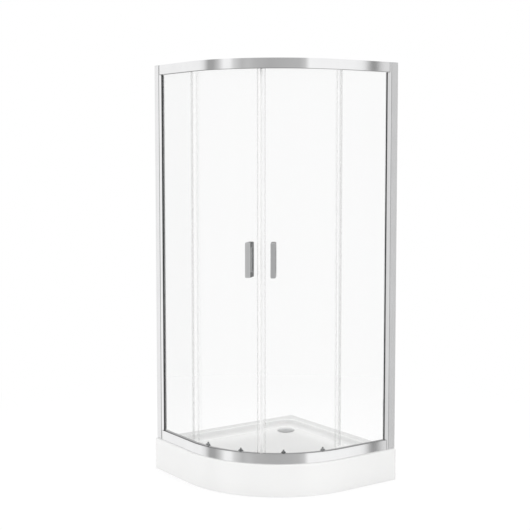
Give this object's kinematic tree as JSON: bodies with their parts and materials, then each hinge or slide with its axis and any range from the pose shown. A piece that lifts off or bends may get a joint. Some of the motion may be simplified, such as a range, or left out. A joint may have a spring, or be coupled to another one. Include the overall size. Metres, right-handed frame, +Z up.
{
  "type": "quadrant shower enclosure",
  "caption": "Quadrant shower enclosure: curved glass doors that slide on rollers between bent rails, flat fixed panes, wall profiles, paired handles and a deep tray with a corner drain.",
  "frame": {"origin": "centre of the tray's square plan on the floor, z = 0 at the underside of the tray apron", "axes": "+Z up; the back wall is the plane y = +0.45 m and the side wall the plane x = -0.45 m; the curved front faces +X -Y"},
  "size_m": [0.9, 0.9, 2.11],
  "materials": {
    "acrylic": "gloss white sanitary acrylic",
    "board": "raw chipboard",
    "zinc": "zinc plated",
    "foot_plastic": "black moulded",
    "trap_plastic": "white moulded",
    "chrome": "polished",
    "bright_aluminium": "bright anodised",
    "glass": "clear toughened",
    "clear_seal": "translucent vinyl",
    "magnet": "white magnetic rubber strip",
    "gasket": "black",
    "nylon": "white nylon",
    "grey_plastic": "grey moulded"
  },
  "bodies": {
    "enclosure": {"shower_tray": "acrylic", "base_board": "board", "leg_plates": "zinc", "leg_studs": "zinc", "leg_feet": "foot_plastic", "waste_flange": "chrome", "waste_gasket": "gasket", "trap_body": "trap_plastic", "trap_insert": "trap_plastic", "bottom_rail": "bright_aluminium", "top_rail": "bright_aluminium", "wall_profile_left": "bright_aluminium", "wall_profile_right": "bright_aluminium", "post_left": "bright_aluminium", "post_right": "bright_aluminium", "fixed_glass_left": "glass", "fixed_glass_right": "glass", "fixed_edge_seal_left": "clear_seal", "fixed_edge_seal_right": "clear_seal", "profile_caps": "grey_plastic", "glazing_gaskets": "gasket", "post_screws": "zinc", "corner_blocks": "grey_plastic", "door_stops": "gasket"},
    "drain_cover_lift": {"drain_cover": "chrome"},
    "left_door": {"door_glass_left": "glass", "magnet_seal_left": "clear_seal", "magnet_strip_left": "magnet", "trailing_seal_left": "clear_seal", "drip_seal_left": "clear_seal", "handle_outer_left": "chrome", "handle_inner_left": "chrome", "handle_fixings_left": "zinc", "roller_axles_left": "chrome", "roller_caps_left": "chrome", "roller_housings_left": "chrome"},
    "wheel_top_left_trail": {"wheel_top_left_trail": "nylon"},
    "wheel_low_left_trail": {"wheel_low_left_trail": "nylon"},
    "release_left_trail": {"release_left_trail": "chrome"},
    "wheel_top_left_lead": {"wheel_top_left_lead": "nylon"},
    "wheel_low_left_lead": {"wheel_low_left_lead": "nylon"},
    "release_left_lead": {"release_left_lead": "chrome"},
    "right_door": {"door_glass_right": "glass", "magnet_seal_right": "clear_seal", "magnet_strip_right": "magnet", "trailing_seal_right": "clear_seal", "drip_seal_right": "clear_seal", "handle_outer_right": "chrome", "handle_inner_right": "chrome", "handle_fixings_right": "zinc", "roller_axles_right": "chrome", "roller_caps_right": "chrome", "roller_housings_right": "chrome"},
    "wheel_top_right_trail": {"wheel_top_right_trail": "nylon"},
    "wheel_low_right_trail": {"wheel_low_right_trail": "nylon"},
    "release_right_trail": {"release_right_trail": "chrome"},
    "wheel_top_right_lead": {"wheel_top_right_lead": "nylon"},
    "wheel_low_right_lead": {"wheel_low_right_lead": "nylon"},
    "release_right_lead": {"release_right_lead": "chrome"}
  },
  "joints": [
    {"name": "left_door_travel", "type": "hinge", "parent": "enclosure", "child": "left_door", "pos_m": [-0.1, 0.1, 1.13], "axis": [0, 0, 1], "range_deg": [-22.4, 0]},
    {"name": "wheel_top_left_trail_spin", "type": "hinge", "parent": "left_door", "child": "wheel_top_left_trail", "pos_m": [-0.01795, -0.41227, 2.0773], "axis": [0.1582, -0.9874, 0], "continuous": true},
    {"name": "wheel_low_left_trail_spin", "type": "hinge", "parent": "left_door", "child": "wheel_low_left_trail", "pos_m": [-0.01795, -0.41227, 0.1927], "axis": [0.1582, -0.9874, 0], "continuous": true},
    {"name": "release_left_trail_press", "type": "slide", "parent": "left_door", "child": "release_left_trail", "axis": [0, 0, -1], "range_m": [0, 0.004], "stiffness_N_per_m": 300, "springref_m": -0.002},
    {"name": "wheel_top_left_lead_spin", "type": "hinge", "parent": "left_door", "child": "wheel_top_left_lead", "pos_m": [0.17875, -0.33755, 2.0773], "axis": [0.5373, -0.8434, 0], "continuous": true},
    {"name": "wheel_low_left_lead_spin", "type": "hinge", "parent": "left_door", "child": "wheel_low_left_lead", "pos_m": [0.17875, -0.33755, 0.1927], "axis": [0.5373, -0.8434, 0], "continuous": true},
    {"name": "release_left_lead_press", "type": "slide", "parent": "left_door", "child": "release_left_lead", "axis": [0, 0, -1], "range_m": [0, 0.004], "stiffness_N_per_m": 300, "springref_m": -0.002},
    {"name": "right_door_travel", "type": "hinge", "parent": "enclosure", "child": "right_door", "pos_m": [-0.1, 0.1, 1.13], "axis": [0, 0, 1], "range_deg": [0, 22.4]},
    {"name": "wheel_top_right_trail_spin", "type": "hinge", "parent": "right_door", "child": "wheel_top_right_trail", "pos_m": [0.41227, 0.01795, 2.0773], "axis": [0.9874, -0.1582, 0], "continuous": true},
    {"name": "wheel_low_right_trail_spin", "type": "hinge", "parent": "right_door", "child": "wheel_low_right_trail", "pos_m": [0.41227, 0.01795, 0.1927], "axis": [0.9874, -0.1582, 0], "continuous": true},
    {"name": "release_right_trail_press", "type": "slide", "parent": "right_door", "child": "release_right_trail", "axis": [0, 0, -1], "range_m": [0, 0.004], "stiffness_N_per_m": 300, "springref_m": -0.002},
    {"name": "wheel_top_right_lead_spin", "type": "hinge", "parent": "right_door", "child": "wheel_top_right_lead", "pos_m": [0.33755, -0.17875, 2.0773], "axis": [0.8434, -0.5373, 0], "continuous": true},
    {"name": "wheel_low_right_lead_spin", "type": "hinge", "parent": "right_door", "child": "wheel_low_right_lead", "pos_m": [0.33755, -0.17875, 0.1927], "axis": [0.8434, -0.5373, 0], "continuous": true},
    {"name": "release_right_lead_press", "type": "slide", "parent": "right_door", "child": "release_right_lead", "axis": [0, 0, -1], "range_m": [0, 0.004], "stiffness_N_per_m": 300, "springref_m": -0.002},
    {"name": "drain_cover_lift_out", "type": "slide", "parent": "enclosure", "child": "drain_cover_lift", "axis": [0, 0, 1], "range_m": [0, 0.08]}
  ],
  "couplings": [
    {"joint": "wheel_top_left_trail_spin", "follows": "left_door_travel", "ratio": -43.233},
    {"joint": "wheel_low_left_trail_spin", "follows": "left_door_travel", "ratio": 43.233},
    {"joint": "wheel_top_left_lead_spin", "follows": "left_door_travel", "ratio": -43.233},
    {"joint": "wheel_low_left_lead_spin", "follows": "left_door_travel", "ratio": 43.233},
    {"joint": "wheel_top_right_trail_spin", "follows": "right_door_travel", "ratio": -43.233},
    {"joint": "wheel_low_right_trail_spin", "follows": "right_door_travel", "ratio": 43.233},
    {"joint": "wheel_top_right_lead_spin", "follows": "right_door_travel", "ratio": -43.233},
    {"joint": "wheel_low_right_lead_spin", "follows": "right_door_travel", "ratio": 43.233}
  ]
}
